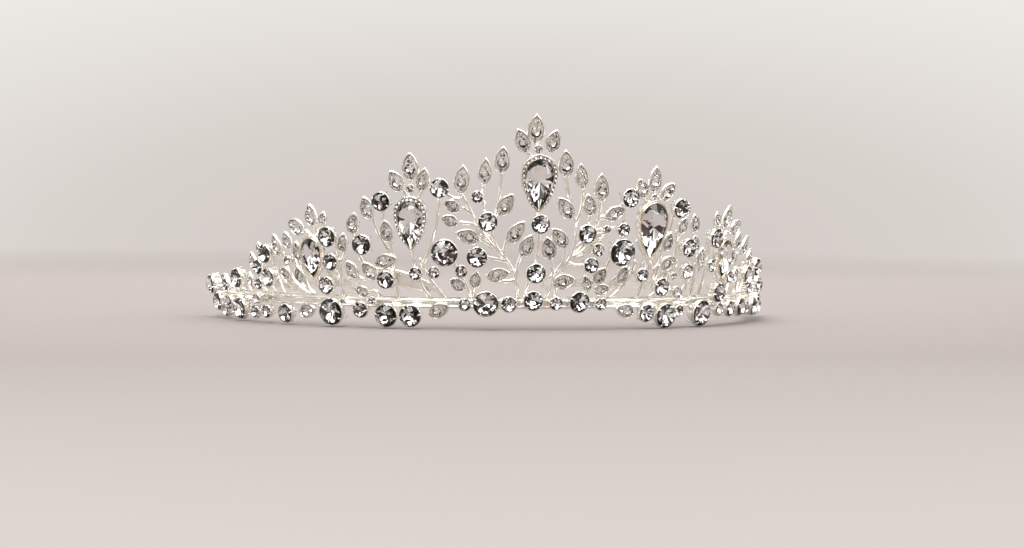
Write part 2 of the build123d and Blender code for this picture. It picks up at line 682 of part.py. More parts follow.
def base_band():
    """Flat strip round the head: a front arc and two tails of smaller radius."""
    height, radius = band_height_at(BAND_V, BAND_OUT)
    section = Rectangle(BAND_THICKNESS, BAND_HEIGHT)
    front = arc_bar(section, radius, -FRONT_HALF_ANGLE, FRONT_HALF_ANGLE, height)
    tail = arc_bar(section, TAIL_RADIUS, FRONT_HALF_ANGLE, FRONT_HALF_ANGLE + TAIL_ANGLE, height)
    tail = Pos(tail_centre(radius)) * tail
    return front + tail + mirror(tail, about=Plane.YZ)


def tail_centre(radius):
    """Centre of the right tail's arc, so that it leaves the front arc smoothly."""
    angle = radians(FRONT_HALF_ANGLE)
    offset = radius - TAIL_RADIUS
    return (offset * sin(angle), -offset * cos(angle), 0)


def end_loop():
    """Flat ring at the right end of the band, with a bore for a hair pin."""
    height, radius = band_height_at(BAND_V, BAND_OUT)
    angle = radians(FRONT_HALF_ANGLE + TAIL_ANGLE)
    centre = Vector(*tail_centre(radius))
    outward = Vector(sin(angle), -cos(angle), 0)
    onward = Vector(cos(angle), sin(angle), 0)
    reach = LOOP_OUTER_RADIUS + SOLDER_GAP
    middle = centre + outward * TAIL_RADIUS + onward * reach + Vector(0, 0, height)
    ring = Circle(LOOP_OUTER_RADIUS) - Circle(LOOP_BORE_RADIUS)
    return Plane(middle, z_dir=outward) * extrude(ring, LOOP_THICKNESS / 2, both=True)


def decor_wire(v):
    """Thin round wire along the front of the band."""
    height, radius = band_height_at(v, WIRE_OUT)
    return arc_bar(Circle(WIRE_RADIUS), radius, -WIRE_HALF_ANGLE, WIRE_HALF_ANGLE, height)


def section_nodes(name, section):
    """The nodes of one section of the crown."""
    return {
        f"{name}_stems": [stem_tree(section.stems)],
        f"{name}_leaf_settings": [leaf_setting(leaf) for leaf in section.leaves],
        f"{name}_stone_cups": [place(c.u, c.v) * round_cup(c.diameter) for c in section.cups],
        f"{name}_round_crystals": [place(c.u, c.v) * cup_stone(c.diameter) for c in section.cups],
    }


def leaf_stone_nodes():
    """The stones of the leaves, in one node for each side and one for the middle."""
    groups = {"centre": [], "left": [], "right": []}
    for name, section in SECTIONS.items():
        group = groups[name.split("_")[0]]
        for leaf in section.leaves:
            group.extend(leaf_stones(leaf))
    return {f"{side}_leaf_stones": stones for side, stones in groups.items()}


def pear_nodes():
    """The five pear motifs and the small stones on their bezels."""
    nodes = {}
    halo = []
    for name, pear in PEARS.items():
        nodes[f"{name}_pear_bezel"] = [pear_bezel(pear)]
        nodes[f"{name}_pear_crystal"] = [pear_crystal(pear)]
        if name in HALO_PEARS:
            halo.extend(halo_stones(pear))
    nodes["pear_halo_stones"] = halo
    return nodes


def tiara():
    """Every node of the tiara as a list of solids."""
    loop = end_loop()
    nodes = {
        "base_band": [base_band()],
        "lower_decor_wire": [decor_wire(WIRE_V[0])],
        "upper_decor_wire": [decor_wire(WIRE_V[1])],
        "right_end_loop": [loop],
        "left_end_loop": [mirror(loop, about=Plane.YZ)],
    }
    for name, section in SECTIONS.items():
        nodes.update(section_nodes(name, section))
    for side, leaves in RIBBONS.items():
        nodes[f"{side}_ribbed_leaves"] = [ribbon(leaf) for leaf in leaves]
    nodes.update(leaf_stone_nodes())
    nodes.update(pear_nodes())
    return nodes


def write(nodes):
    """Move the tiara so that its origin is the middle of its box's floor, and write each node."""
    os.makedirs("parts", exist_ok=True)
    shapes = {}
    for name, pieces in nodes.items():
        shapes[name] = Compound(children=[solid for piece in pieces for solid in piece.solids()])
    low = [min(tuple(shape.bounding_box().min)[i] for shape in shapes.values()) for i in range(3)]
    high = [max(tuple(shape.bounding_box().max)[i] for shape in shapes.values()) for i in range(3)]
    shift = Location((-(low[0] + high[0]) / 2, -(low[1] + high[1]) / 2, -low[2]))
    for name, shape in shapes.items():
        export_step(shift * shape, f"parts/{name}.step")


write(tiara())
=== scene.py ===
import math

import bmesh
import bpy
import numpy as np
from mathutils import Matrix, Vector


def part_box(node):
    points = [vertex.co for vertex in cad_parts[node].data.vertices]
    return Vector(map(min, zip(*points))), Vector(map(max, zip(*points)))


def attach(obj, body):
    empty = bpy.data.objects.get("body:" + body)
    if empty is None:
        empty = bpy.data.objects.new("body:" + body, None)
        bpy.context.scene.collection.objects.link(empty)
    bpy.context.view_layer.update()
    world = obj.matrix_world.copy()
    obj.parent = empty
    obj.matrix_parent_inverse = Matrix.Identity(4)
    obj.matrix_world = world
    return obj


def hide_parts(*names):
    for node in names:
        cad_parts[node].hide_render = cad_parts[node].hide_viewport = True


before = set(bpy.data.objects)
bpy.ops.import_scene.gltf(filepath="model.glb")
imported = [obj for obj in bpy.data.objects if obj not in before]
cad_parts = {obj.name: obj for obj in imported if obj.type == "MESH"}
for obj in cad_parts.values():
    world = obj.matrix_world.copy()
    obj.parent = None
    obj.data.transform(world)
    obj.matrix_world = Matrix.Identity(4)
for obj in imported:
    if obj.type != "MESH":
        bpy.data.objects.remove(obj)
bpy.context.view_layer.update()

# Metres throughout. The crown is laid out flat in u (along the arc), v (up the leaning surface) and
# out (outward from it), as in the CAD model, and the CAD solids say where each piece goes.
MM = 0.001
LEAN = math.radians(10)

# Points nearer than this count as one, in the CAD meshes and in the shapes made here
WELD = 2e-6
SHAPE_WELD = 2e-7

SECTIONS = (
    "centre",
    "left_inner",
    "left_side",
    "left_outer",
    "left_end",
    "right_inner",
    "right_side",
    "right_outer",
    "right_end",
)
PEARS = ("centre", "left_side", "right_side", "left_outer", "right_outer")
LEAF_STONE_SIDES = ("centre", "left", "right")
RIBBED_LEAF_SIDES = ("left", "right")

# Cut stones: corners of the outline, table width as a share of the stone, the slope of a round
# pavilion, how far in its long facets meet, and girdle and crown heights. The shares of a girdle and
# a crown are of the radius, or of the CAD stone's height where the name says so.
STONE_CORNERS = 16
ROUND_TABLE = 0.5
PEAR_TABLE = 0.56
PAVILION_SLOPE = math.tan(math.radians(41))
LOWER_GIRDLE_SHARE = 0.36
ROUND_GIRDLE = 0.13
SMALL_GIRDLE = 0.08
ROUND_CROWN = 0.34
SMALL_CROWN = 0.36
SMALL_CROWN_OF_HEIGHT = 0.5
SMALL_SEAT_OF_HEIGHT = 0.65
HALO_CROWN_OF_HEIGHT = 0.6
HALO_SEAT_OF_HEIGHT = 0.35
HALO_DEPTH_OF_SEAT = 1.6
PEAR_GIRDLE = 0.12 * MM
PEAR_CROWN = 1.3 * MM
PEAR_DEPTH_SHARE = 0.6
PEAR_CENTRE_SHARE = 0.44

# Share of the pavilion facets that get painted dark reflections in round, small and pear stones
ROUND_DARK_SHARE = 0.23
SMALL_DARK_SHARE = 0.23
PEAR_DARK_SHARE = 0.10

# Settings: wall and sides of a cup, its claws, the leaf rim, how deep a leaf lets its stones sit
# below their CAD foot, and the beads. A cup or a leaf stone of more than a certain radius has four
# claws or beads, and a smaller one has three.
CUP_WALL = 0.30 * MM
CLAW_WIDTH = 0.40 * MM
FOUR_CLAW_RADIUS = 1.3 * MM
CUP_SIDES = 28
LEAF_RIM = 0.36 * MM
LEAF_SETTING_DEPTH = 0.35 * MM
BEAD_RADIUS = 0.15 * MM
FINE_BEAD_RADIUS = 0.14 * MM
BEAD_SIDES = 8
BEAD_ROWS = 5
FOUR_BEAD_RADIUS = 0.55 * MM

# Pear settings: widest place as a share of the width, how much faster the tip is inset, steps in
# the arcs of the outlines, and the wall of a collar that has small stones round it
BEZEL_BELLY = 0.5
PEAR_BELLY = 0.55
PEAR_TIP_FACTOR = 1.7
PEAR_STONE_STEPS = 12
PEAR_SETTING_STEPS = 20
HALO_WALL = 0.16 * MM

# Rows of beads: steps in the arcs they follow, how far in the beads of a pear's rim lie, how far
# apart neighbours in a halo may be, and where the two beads between them lie
LEAF_ROW_STEPS = 24
RIM_ROW_STEPS = 60
RIM_ROW_INSET = 0.33 * MM
HALO_STEP_LIMIT = 1.6 * MM
HALO_BEAD_SIDE = 0.27 * MM
HALO_BEAD_RISE = 0.12 * MM

# How much the place along and up the crown counts in the turn of a piece and in which of its facets
# get painted dark reflections
CUP_SEED = (900, 500)
ROUND_SEED = (700, 300)
LEAF_STONE_SEED = (800, 400)
HALO_SEED = (600, 200)
FACET_SEED = (3100, 1700)

# Materials: how fine the clouds of colour are, where the metal's two tints lie, how much its gloss
# varies and how strong its grain is
METAL_CLOUD_SCALE = 420
METAL_SHADE_AT = 0.32
METAL_BRIGHT_AT = 0.58
GLOSS_LESS = 0.04
GLOSS_MORE = 0.08
GRAIN_STRENGTH = 0.35
CRYSTAL_CLOUD_SCALE = 180
CRYSTAL_IOR = 1.56
FOIL_CLOUD_SCALE = 900
WHITE = (1, 1, 1)

# The camera stands in front of the arc's centre, a little to the left and above
CAMERA_DISTANCE = 640 * MM
CAMERA_AZIMUTH = math.radians(9.38)
CAMERA_ELEVATION = math.radians(2.77)
CAMERA_ROLL = math.radians(0.51)
CAMERA_LENS = 77.0
CAMERA_SENSOR = 36.0
CAMERA_SHIFT = (0.0275, 0.0356)

# Floor: its colour at three distances in y from the middle, a painted shading that is darkest just in
# front of the tiara and lighter toward the front and far behind, and the radii where it fades out
FLOOR_HALF_DEPTH = 0.5
FLOOR_FRONT_Y = -0.40
FLOOR_NEAR_Y = -0.16
FLOOR_FAR_Y = 0.30
FLOOR_FRONT = (0.286, 0.266, 0.256)
FLOOR_NEAR = (0.257, 0.233, 0.230)
FLOOR_FAR = (0.375, 0.340, 0.330)
FLOOR_FADE = (0.12, 1.0)
FLOOR_RADII = (0.0005, 0.1, 0.3, 0.6, 1.2, 2.4, 4.0)
FLOOR_SIDES = 96

# Backdrop: it brightens away from its foot, counted more up than across
BACKDROP_FOOT = (0.18, 1.0, -0.024)
BACKDROP_RISE = 3.0
BACKDROP_REACH = 0.40
BACKDROP_LOW = (0.615, 0.555, 0.530)
BACKDROP_MIDDLE = (0.690, 0.645, 0.612)
BACKDROP_HIGH = (0.840, 0.815, 0.775)

# What the metal and the crystals mirror: noise patches of these tones, and a dark side in front
DARK_SIDE = (-0.16, -1.0, 0.05)
DARK_SIDE_REACH = (0.30, 0.34)
DARK_SIDE_TONE = (0.03, 0.025, 0.022)
METAL_PATCH_SCALE = 5.0
METAL_TONES = (
    (0.42, (0.10, 0.085, 0.074)),
    (0.45, (0.48, 0.440, 0.380)),
    (0.50, (0.72, 0.690, 0.625)),
    (0.56, (1.10, 1.080, 1.020)),
)
CRYSTAL_PATCH_SCALE = 7.0
CRYSTAL_TONES = (
    (0.495, (0.026, 0.018, 0.016)),
    (0.525, (2.1, 2.06, 1.97)),
)

# Soft lights, aimed at a point above the middle of the arc: name, azimuth and elevation in degrees,
# distance, size, power in watts and colour
LIGHT_TARGET_HEIGHT = 0.025
LIGHTS = (
    ("key_light", -35, 50, 1.0, (0.6, 0.6), 9, (1.0, 0.98, 0.95)),
    ("fill_light", 50, 35, 1.1, (0.5, 0.8), 6, (1.0, 0.98, 0.96)),
    ("top_light", 10, 85, 0.9, (0.5, 0.5), 5, (1.0, 0.99, 0.97)),
    ("back_light", 160, 40, 1.2, (0.8, 0.5), 2.5, (1.0, 0.98, 0.96)),
)


# ---------------------------------------------------------------- where things are

band_low, band_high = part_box("base_band")
ARC_CENTRE_X = (band_low.x + band_high.x) / 2
BAND_RADIUS = (band_high.x - band_low.x) / 2
ARC_CENTRE_Y = band_low.y + BAND_RADIUS

# The band's place on the crown's surface, and the foot and radius of that surface from it
BAND_V = 5.6 * MM
BAND_OUT = -1.75 * MM
BAND_THICKNESS = 0.9 * MM
BASE_Z = (band_low.z + band_high.z) / 2 - BAND_V * math.cos(LEAN) + BAND_OUT * math.sin(LEAN)
ARC_RADIUS = (
    BAND_RADIUS - BAND_THICKNESS / 2 - BAND_V * math.sin(LEAN) - BAND_OUT * math.cos(LEAN)
)


def place(u, v, out=0.0, turn=0.0):
    """Frame on the crown's surface: x along the arc, y up the crown and z outward, then turned."""
    angle = u / ARC_RADIUS
    radius = ARC_RADIUS + v * math.sin(LEAN) + out * math.cos(LEAN)
    origin = Vector(
        (
            ARC_CENTRE_X + radius * math.sin(angle),
            ARC_CENTRE_Y - radius * math.cos(angle),
            BASE_Z + v * math.cos(LEAN) - out * math.sin(LEAN),
        )
    )
    along = Vector((math.cos(angle), math.sin(angle), 0))
    outward = Vector(
        (math.cos(LEAN) * math.sin(angle), -math.cos(LEAN) * math.cos(angle), -math.sin(LEAN))
    )
    upward = outward.cross(along)
    turned = Matrix((along, upward, outward)).transposed().to_4x4()
    turned.translation = origin
    return turned @ Matrix.Rotation(turn, 4, "Z")


def layout(point):
    """The u, v and out of a point."""
    x = point[0] - ARC_CENTRE_X
    y = point[1] - ARC_CENTRE_Y
    angle = math.atan2(x, -y)
    across = math.hypot(x, y) - ARC_RADIUS
    height = point[2] - BASE_Z
    v = across * math.sin(LEAN) + height * math.cos(LEAN)
    out = across * math.cos(LEAN) - height * math.sin(LEAN)
    return angle * ARC_RADIUS, v, out


def islands(node):
    """The points of each separate solid of a CAD node, in order along the crown."""
    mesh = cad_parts[node].data
    points = np.empty(len(mesh.vertices) * 3)
    mesh.vertices.foreach_get("co", points)
    points = points.reshape(-1, 3)
    corners = np.empty(len(mesh.edges) * 2, np.int64)
    mesh.edges.foreach_get("vertices", corners)
    keys = np.round(points / WELD).astype(np.int64)
    _, first, welded = np.unique(keys, axis=0, return_index=True, return_inverse=True)
    welded = welded.reshape(-1)
    ends = welded[corners].reshape(-1, 2)
    labels = np.arange(len(first))
    while True:
        low = np.minimum(labels[ends[:, 0]], labels[ends[:, 1]])
        lower = labels.copy()
        np.minimum.at(lower, ends[:, 0], low)
        np.minimum.at(lower, ends[:, 1], low)
        lower = lower[lower]
        if (lower == labels).all():
            break
        labels = lower
    groups = [points[first[labels == label]] for label in np.unique(labels)]
    return sorted(groups, key=lambda group: tuple(np.round(layout(group.mean(0)), 5)))


def local_points(points, matrix):
    """Points in the coordinates of a frame."""
    inverse = np.array(matrix.inverted())
    return points @ inverse[:3, :3].T + inverse[:3, 3]


class Leaf:
    """A drop-shaped CAD solid: its frame (y toward the tip, origin at its base), length and width."""

    def __init__(self, points):
        u, v, _ = layout(points.mean(0))
        flat = local_points(points, place(u, v))[:, :2]
        middle = (flat.min(0) + flat.max(0)) / 2
        for _ in range(3):
            u += middle[0]
            v += middle[1]
            flat = local_points(points, place(u, v))[:, :2]
            spread = flat - flat.mean(0)
            _, axes = np.linalg.eigh(spread.T @ spread)
            long_axis = axes[:, 1]
            cross_axis = np.array((long_axis[1], -long_axis[0]))
            along = flat @ long_axis
            across = flat @ cross_axis
            centre = long_axis * (along.min() + along.max()) / 2
            middle = centre + cross_axis * (across.min() + across.max()) / 2
        widest = along[np.abs(across - across.mean()) > 0.97 * np.abs(across - across.mean()).max()]
        tip_side = 1 if widest.mean() < (along.min() + along.max()) / 2 else -1
        long_axis = long_axis * tip_side
        turn = math.atan2(-long_axis[0], long_axis[1])
        self.length = along.max() - along.min()
        self.width = across.max() - across.min()
        depths = local_points(points, place(u, v))[:, 2]
        self.low = depths.min()
        self.high = depths.max()
        self.frame = place(u, v, self.low, turn) @ Matrix.Translation((0, -self.length / 2, 0))


class Disc:
    """A round CAD solid: its frame at its foot, its radius and its height."""

    def __init__(self, points):
        u, v, _ = layout(points.mean(0))
        for _ in range(2):
            flat = local_points(points, place(u, v))
            u += (flat[:, 0].min() + flat[:, 0].max()) / 2
            v += (flat[:, 1].min() + flat[:, 1].max()) / 2
        flat = local_points(points, place(u, v))
        self.u = u
        self.v = v
        self.radius = (flat[:, 0].max() - flat[:, 0].min()) / 2
        self.low = flat[:, 2].min()
        self.height = flat[:, 2].max() - self.low
        self.frame = place(u, v, self.low)


# All the stones that lie in leaves
LEAF_STONES = [
    Disc(points) for side_name in LEAF_STONE_SIDES for points in islands(f"{side_name}_leaf_stones")
]


# ---------------------------------------------------------------- mesh building

class Shape:
    """Points, faces and the material of each face, gathered for one piece."""

    def __init__(self):
        self.points = []
        self.faces = []
        self.slots = []
        self.flat = []

    def add(self, points, faces, matrix, slot=0, flat=False):
        """Adds a mesh in the coordinates of a frame, all in one material."""
        start = len(self.points)
        self.points.extend(matrix @ Vector(point) for point in points)
        for face in faces:
            self.faces.append(tuple(start + index for index in face))
            self.slots.append(slot)
            self.flat.append(flat)

    def add_rings(self, rings, matrix, slots=0, cap_first=False, cap_last=False):
        """Closed rings of points joined one to the next; slots is one number or one per strip."""
        start = len(self.points)
        count = len(rings[0])
        for ring in rings:
            self.points.extend(matrix @ Vector(point) for point in ring)
        for row in range(len(rings) - 1):
            slot = slots if isinstance(slots, int) else slots[row]
            for i in range(count):
                j = (i + 1) % count
                low = start + row * count
                self.faces.append((low + i, low + j, low + count + j, low + count + i))
                self.slots.append(slot)
                self.flat.append(False)
        if cap_first:
            self.faces.append(tuple(start + i for i in reversed(range(count))))
            self.slots.append(slots if isinstance(slots, int) else slots[0])
            self.flat.append(False)
        if cap_last:
            last = start + (len(rings) - 1) * count
            self.faces.append(tuple(last + i for i in range(count)))
            self.slots.append(slots if isinstance(slots, int) else slots[-1])
            self.flat.append(False)

    def build(self, name, materials):
        """Makes the object, with the materials in the order of the slots."""
        mesh = bpy.data.meshes.new(name)
        mesh.from_pydata([tuple(point) for point in self.points], [], self.faces)
        for material in materials:
            mesh.materials.append(material)
        mesh.polygons.foreach_set("material_index", self.slots)
        mesh.polygons.foreach_set("use_smooth", [not flat for flat in self.flat])
        mesh.validate()
        mesh.update()
        piece = bpy.data.objects.new(name, mesh)
        bpy.context.scene.collection.objects.link(piece)
        clean(piece)
        return piece


def clean(piece):
    """Joins the points that coincide and turns all faces outward."""
    work = bmesh.new()
    work.from_mesh(piece.data)
    bmesh.ops.remove_doubles(work, verts=work.verts, dist=SHAPE_WELD)
    bmesh.ops.dissolve_degenerate(work, edges=work.edges, dist=SHAPE_WELD)
    bmesh.ops.recalc_face_normals(work, faces=work.faces)
    work.to_mesh(piece.data)
    work.free()
    piece.data.update()


def drop_outline(width, length, belly, start, count):
    """Outline of a drop made of four arcs, from its round end round to its point and back."""

    def half(end, steps, upward):
        rise = abs(end - belly_y)
        half_width = width / 2
        radius = (half_width**2 + rise**2) / (2 * half_width)
        sweep = math.atan2(rise, radius - half_width)
        side = 1 if upward else -1
        result = []
        for step in range(steps + 1):
            angle = sweep * step / steps
            x = half_width - radius + radius * math.cos(angle)
            result.append((max(x, 0.0), belly_y + side * radius * math.sin(angle)))
        return result

    belly_y = start + belly
    lower = half(start, count, False)[::-1]
    upper = half(start + length, count, True)
    right = lower + upper[1:]
    left = [(-x, y) for x, y in right[1:-1]][::-1]
    return right + left


def ring_at(outline, z):
    """An outline as points at one height."""
    return [(x, y, z) for x, y in outline]


def inset_drop(width, length, belly, inset, count=14, tip_factor=2.1):
    """The outline of a drop moved inward by a given distance, and more than that at its tip."""
    inner_length = length - inset - inset * tip_factor
    return drop_outline(width - 2 * inset, inner_length, belly - inset, inset, count)


def ball(radius):
    """Small bead with rounded facets."""
    points = [(0, 0, radius)]
    for row in range(1, BEAD_ROWS):
        angle = math.pi * row / BEAD_ROWS
        flat = radius * math.sin(angle)
        for i in range(BEAD_SIDES):
            turn = 2 * math.pi * i / BEAD_SIDES
            points.append((flat * math.cos(turn), flat * math.sin(turn), radius * math.cos(angle)))
    points.append((0, 0, -radius))
    faces = [(0, 1 + i, 1 + (i + 1) % BEAD_SIDES) for i in range(BEAD_SIDES)]
    for row in range(BEAD_ROWS - 2):
        low = 1 + row * BEAD_SIDES
        for i in range(BEAD_SIDES):
            j = (i + 1) % BEAD_SIDES
            faces.append((low + i, low + BEAD_SIDES + i, low + BEAD_SIDES + j, low + j))
    last = len(points) - 1
    low = 1 + (BEAD_ROWS - 2) * BEAD_SIDES
    faces.extend((low + i, last, low + (i + 1) % BEAD_SIDES) for i in range(BEAD_SIDES))
    return points, faces


def brilliant(outline, centre, table, girdle, crown, depth):
    """Cut stone with an outline of 16 points: table, stars, kites, upper girdle and pavilion.

    Returns points, crown faces and pavilion faces; the girdle's faces come last."""
    cx, cy = centre
    sides = STONE_CORNERS // 2
    stars = sides
    upper = 2 * sides
    lower = 4 * sides
    mids = 6 * sides
    culet = 7 * sides

    def toward(index, share, z):
        x, y = outline[index % STONE_CORNERS]
        return (cx + (x - cx) * share, cy + (y - cy) * share, z)

    points = []
    points.extend(toward(2 * k, table, girdle + crown) for k in range(sides))
    star_share = table + (1 - table) * 0.5
    star_height = girdle + crown * 0.56
    points.extend(toward(2 * k + 1, star_share, star_height) for k in range(sides))
    points.extend(toward(j, 1.0, girdle) for j in range(STONE_CORNERS))
    points.extend(toward(j, 1.0, 0.0) for j in range(STONE_CORNERS))
    mid_height = -depth * (1 - LOWER_GIRDLE_SHARE * math.cos(math.pi / sides))
    points.extend(toward(2 * k + 1, LOWER_GIRDLE_SHARE, mid_height) for k in range(sides))
    points.append((cx, cy, -depth))
    crown_faces = [tuple(range(sides))]
    pavilion_faces = []
    for k in range(sides):
        after = (k + 1) % sides
        before = (k - 1) % sides
        main = 2 * k
        half = 2 * k + 1
        following = (2 * k + 2) % STONE_CORNERS
        crown_faces.append((k, stars + k, after))
        crown_faces.append((k, stars + before, upper + main, stars + k))
        crown_faces.append((stars + k, upper + main, upper + half))
        crown_faces.append((stars + k, upper + half, upper + following))
        pavilion_faces.append((mids + k, lower + half, lower + main))
        pavilion_faces.append((mids + k, lower + following, lower + half))
        pavilion_faces.append((lower + main, mids + before, culet, mids + k))
    for j in range(STONE_CORNERS):
        after = (j + 1) % STONE_CORNERS
        pavilion_faces.append((upper + j, lower + j, lower + after, upper + after))
    return points, crown_faces, pavilion_faces


def circle(radius, count):
    """Points of a circle, as pairs."""
    angles = [2 * math.pi * i / count for i in range(count)]
    return [(radius * math.cos(angle), radius * math.sin(angle)) for angle in angles]


def turned_rings(profile):
    """Rings of a shape turned about z, from pairs of radius and height."""
    return [
        [(x, y, height) for x, y in circle(max(radius, 1e-7), CUP_SIDES)] for radius, height in profile
    ]


def steady(number):
    """A scattered number from 0 to 1 that is always the same for the same input."""
    return (math.sin(number * 12.9898 + 4.137) * 43758.5453) % 1.0


def steady_at(piece, seed):
    """The same, from the place of a cup or stone on the crown."""
    return steady(piece.u * seed[0] + piece.v * seed[1])


# ---------------------------------------------------------------- materials

def node_material(name):
    """An empty node material, with its nodes, links and main shader."""
    material = bpy.data.materials.new(name)
    material.use_nodes = True
    nodes = material.node_tree.nodes
    shader = nodes["Principled BSDF"]
    return material, nodes, material.node_tree.links, shader


def object_noise(nodes, links, scale, detail=2.0):
    """Noise through the object, as a value from 0 to 1."""
    coordinates = nodes.new("ShaderNodeTexCoord")
    noise = nodes.new("ShaderNodeTexNoise")
    noise.inputs["Scale"].default_value = scale
    noise.inputs["Detail"].default_value = detail
    links.new(coordinates.outputs["Object"], noise.inputs["Vector"])
    return noise.outputs["Fac"]


def colour_ramp(nodes, links, value, stops):
    """Colour looked up from a value; stops are pairs of position and colour."""
    ramp = nodes.new("ShaderNodeValToRGB")
    elements = ramp.color_ramp.elements
    elements.remove(elements[1])
    for number, (position, colour) in enumerate(stops):
        element = elements[0] if number == 0 else elements.new(position)
        element.position = position
        element.color = (*colour, 1)
    links.new(value, ramp.inputs["Fac"])
    return ramp.outputs["Color"]


def metal(name, bright, shade, roughness, grain_scale, bump_height, metallic=1.0):
    """Plated metal: colour and gloss vary softly, with a fine cast grain in the surface."""
    material, nodes, links, shader = node_material(name)
    cloud = object_noise(nodes, links, METAL_CLOUD_SCALE, 3)
    tints = ((METAL_SHADE_AT, shade), (METAL_BRIGHT_AT, bright))
    tint = colour_ramp(nodes, links, cloud, tints)
    links.new(tint, shader.inputs["Base Color"])
    gloss = nodes.new("ShaderNodeMapRange")
    gloss.inputs["To Min"].default_value = roughness - GLOSS_LESS
    gloss.inputs["To Max"].default_value = roughness + GLOSS_MORE
    links.new(cloud, gloss.inputs["Value"])
    links.new(gloss.outputs["Result"], shader.inputs["Roughness"])
    grain = object_noise(nodes, links, grain_scale, 4)
    bump = nodes.new("ShaderNodeBump")
    bump.inputs["Strength"].default_value = GRAIN_STRENGTH
    bump.inputs["Distance"].default_value = bump_height
    links.new(grain, bump.inputs["Height"])
    links.new(bump.outputs["Normal"], shader.inputs["Normal"])
    shader.inputs["Metallic"].default_value = metallic
    return material


def clear_crystal(name, tint):
    """Clear cut crystal: a colour that drifts very slightly through it."""
    material, nodes, links, shader = node_material(name)
    cloud = object_noise(nodes, links, CRYSTAL_CLOUD_SCALE)
    colour = colour_ramp(nodes, links, cloud, ((0.0, tint), (1.0, WHITE)))
    links.new(colour, shader.inputs["Base Color"])
    shader.inputs["Roughness"].default_value = 0.0
    shader.inputs["IOR"].default_value = CRYSTAL_IOR
    shader.inputs["Transmission Weight"].default_value = 1.0
    return material


def foil_and_painted_dark_reflection(name, dark, bright):
    """Silvered back of a crystal, seen through it; in dark tones it is painted shade and painted dark
    reflection instead.
    """
    material, nodes, links, shader = node_material(name)
    cloud = object_noise(nodes, links, FOIL_CLOUD_SCALE)
    colour = colour_ramp(nodes, links, cloud, ((0.0, dark), (1.0, bright)))
    links.new(colour, shader.inputs["Base Color"])
    shader.inputs["Metallic"].default_value = 1.0
    shader.inputs["Roughness"].default_value = 0.0
    return material


SILVER_RIM = metal("silver_rim", (0.98, 0.965, 0.93), (0.93, 0.90, 0.84), 0.16, 2600, 1.2e-5)
SILVER_STEM = metal("silver_stem", (0.97, 0.955, 0.92), (0.90, 0.86, 0.79), 0.22, 1800, 3e-5)
SILVER_BAND = metal("silver_band", (0.95, 0.935, 0.90), (0.88, 0.85, 0.79), 0.20, 1500, 1.5e-5)
SILVER_FLOOR = metal("silver_floor", (0.99, 0.965, 0.92), (0.95, 0.91, 0.84), 0.38, 2200, 2e-5, 0.2)
# Dark brown metal: painted shade in the hollows of cups, leaves and pear settings
SILVER_PAINTED_SHADE = metal("silver_painted_shade", (0.42, 0.36, 0.29), (0.16, 0.12, 0.09), 0.34, 2200, 2e-5)
# Tan metal: painted warm shade on the collars round the pear crystals
SILVER_PAINTED_WARM_SHADE = metal("silver_painted_warm_shade", (0.90, 0.82, 0.66), (0.72, 0.58, 0.40), 0.22, 2400, 1.5e-5)
CRYSTAL = clear_crystal("crystal", (0.97, 0.97, 0.99))
FOIL = foil_and_painted_dark_reflection("crystal_foil", (0.90, 0.89, 0.88), WHITE)
# Near-black mirror: painted shade on the girdles and painted dark reflections in some pavilion facets
PAINTED_SHADE_AND_DARK_REFLECTION = foil_and_painted_dark_reflection("crystal_painted_shade_and_dark_reflection", (0.02, 0.012, 0.012), (0.10, 0.07, 0.065))
STONE_MATERIALS = [CRYSTAL, FOIL, PAINTED_SHADE_AND_DARK_REFLECTION]


# ---------------------------------------------------------------- pieces

def claw(radius, height, width, reach):
    """One claw that rises beside a stone and bends over its edge; x is outward from the stone."""
    rings = []
    path = (
        (radius + width * 0.25, 0.0, 1.0),
        (radius + width * 0.25, height * 0.7, 1.0),
        (radius + width * 0.05, height * 0.95, 0.95),
        (radius - reach * 0.5, height * 1.06, 0.8),
        (radius - reach, height * 1.04, 0.45),
    )
    for x, z, share in path:
        half = width * share / 2
        rings.append(
            [
                (x + half * 0.7 * math.cos(a), half * math.sin(a), z + half * 0.5 * math.cos(a))
                for a in (math.pi / 3 * i for i in range(6))
            ]
        )
    return rings


def add_stone(shape, outline, centre, where, table, girdle, crown, depth, dark_share):
    """Cut stone: clear crown (material 0), foiled pavilion (1), and painted shade on the girdle and
    painted dark reflections in some facets (2).
    """
    points, crown_faces, pavilion_faces = brilliant(outline, centre, table, girdle, crown, depth)
    shape.add(points, crown_faces, where, 0, flat=True)
    start = len(shape.points) - len(points)
    girdle_start = len(pavilion_faces) - STONE_CORNERS
    seed = where.translation.x * FACET_SEED[0] + where.translation.z * FACET_SEED[1]
    for number, face in enumerate(pavilion_faces):
        # The girdle gets painted shade and a share of the facets get painted dark reflections
        dark = number >= girdle_start or steady(seed + number) < dark_share
        shape.faces.append(tuple(start + index for index in face))
        shape.slots.append(2 if dark else 1)
        shape.flat.append(True)


def add_round_stone(shape, stone, seat, crown, depth, turn, dark_share, girdle=SMALL_GIRDLE):
    """Round brilliant whose girdle lies at the given height above the foot of a CAD stone."""
    where = stone.frame @ Matrix.Translation((0, 0, seat)) @ Matrix.Rotation(turn, 4, "Z")
    radius = stone.radius
    outline = circle(radius, STONE_CORNERS)
    add_stone(
        shape, outline, (0, 0), where, ROUND_TABLE, radius * girdle, crown, depth, dark_share
    )


